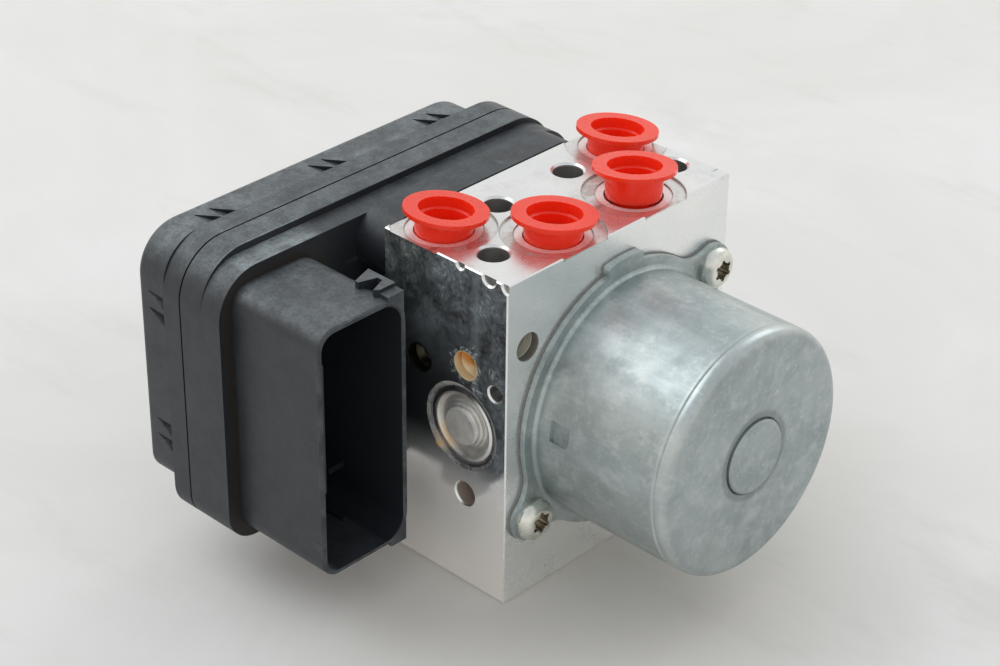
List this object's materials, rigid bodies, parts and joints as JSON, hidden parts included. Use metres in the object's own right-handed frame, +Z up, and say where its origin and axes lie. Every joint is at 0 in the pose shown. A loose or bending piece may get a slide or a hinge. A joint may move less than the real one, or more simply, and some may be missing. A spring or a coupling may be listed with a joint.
{
  "type": "abs brake module",
  "caption": "Anti-lock brake module: drilled hydraulic block with a pump motor, a plastic controller with connector shroud, and transport plugs in the brake line ports.",
  "frame": {"origin": "centre of the hydraulic block's bottom face", "axes": "+Z up towards the brake line ports, -Y towards the pump motor, +Y towards the controller, -X towards the connector"},
  "size_m": [0.1172, 0.1172, 0.0916],
  "materials": {
    "block_aluminium": "fine milled",
    "steel_ball": "ground",
    "motor_zinc": "mottled zinc plate",
    "gasket_rubber": "matte",
    "screw_steel": "pale yellow zinc plate",
    "ferrite": "sintered",
    "shaft_steel": "ground",
    "lamination_steel": "oiled",
    "copper": "enamelled",
    "brush_plate_plastic": "moulded",
    "carbon": "pressed carbon",
    "contact_tin": "tin plate",
    "spring_steel": "drawn wire",
    "cap_aluminium": "turned",
    "valve_steel": "turned",
    "coil_plastic": "moulded over wire",
    "housing_plastic": "moulded, fine grain",
    "cover_plastic": "moulded, fine grain",
    "board_laminate": "solder mask",
    "plug_red": "soft moulded"
  },
  "bodies": {
    "module": {"hydraulic_block": "block_aluminium", "sealing_balls": "steel_ball", "motor_can": "motor_zinc", "motor_gasket": "gasket_rubber", "housing_seal": "gasket_rubber", "motor_screws": "screw_steel", "controller_screws": "screw_steel", "motor_magnets": "ferrite", "rear_bearing": "shaft_steel", "front_bearing": "shaft_steel", "pump_sleeve_left": "shaft_steel", "pump_sleeve_right": "shaft_steel", "brush_plate": "brush_plate_plastic", "carbon_brushes": "carbon", "motor_terminals": "contact_tin", "connector_pins": "contact_tin", "pump_spring_left": "spring_steel", "pump_spring_right": "spring_steel", "reservoir_spring_left": "spring_steel", "reservoir_spring_right": "spring_steel", "pump_cap_left": "cap_aluminium", "pump_cap_right": "cap_aluminium", "reservoir_cap_left": "cap_aluminium", "reservoir_cap_right": "cap_aluminium", "inlet_valves": "valve_steel", "outlet_valves": "valve_steel", "solenoid_coils": "coil_plastic", "controller_housing": "housing_plastic", "controller_cover": "cover_plastic", "circuit_board": "board_laminate", "port_plug_1": "plug_red", "port_plug_2": "plug_red", "port_plug_3": "plug_red", "port_plug_4": "plug_red"},
    "rotor": {"rotor_shaft": "shaft_steel", "eccentric_bearing": "shaft_steel", "armature_core": "lamination_steel", "armature_windings": "copper", "commutator": "copper"},
    "left_pump_piston": {"pump_piston_left": "shaft_steel"},
    "right_pump_piston": {"pump_piston_right": "shaft_steel"},
    "left_reservoir_piston": {"reservoir_piston_left": "cap_aluminium", "reservoir_seal_left": "gasket_rubber"},
    "right_reservoir_piston": {"reservoir_piston_right": "cap_aluminium", "reservoir_seal_right": "gasket_rubber"}
  },
  "joints": [
    {"name": "rotor_spin", "type": "hinge", "parent": "module", "child": "rotor", "pos_m": [0, 0, 0.0424], "axis": [0, 1, 0], "continuous": true},
    {"name": "left_pump_stroke", "type": "slide", "parent": "module", "child": "left_pump_piston", "axis": [-1, 0, 0], "range_m": [0, 0.0024], "stiffness_N_per_m": 1000},
    {"name": "right_pump_stroke", "type": "slide", "parent": "module", "child": "right_pump_piston", "axis": [1, 0, 0], "range_m": [0, 0.0024], "stiffness_N_per_m": 1000},
    {"name": "left_reservoir_stroke", "type": "slide", "parent": "module", "child": "left_reservoir_piston", "axis": [0, 0, -1], "range_m": [0, 0.0055], "stiffness_N_per_m": 1500, "deforming": ["reservoir_spring_left"]},
    {"name": "right_reservoir_stroke", "type": "slide", "parent": "module", "child": "right_reservoir_piston", "axis": [0, 0, -1], "range_m": [0, 0.0055], "stiffness_N_per_m": 1500, "deforming": ["reservoir_spring_right"]}
  ]
}
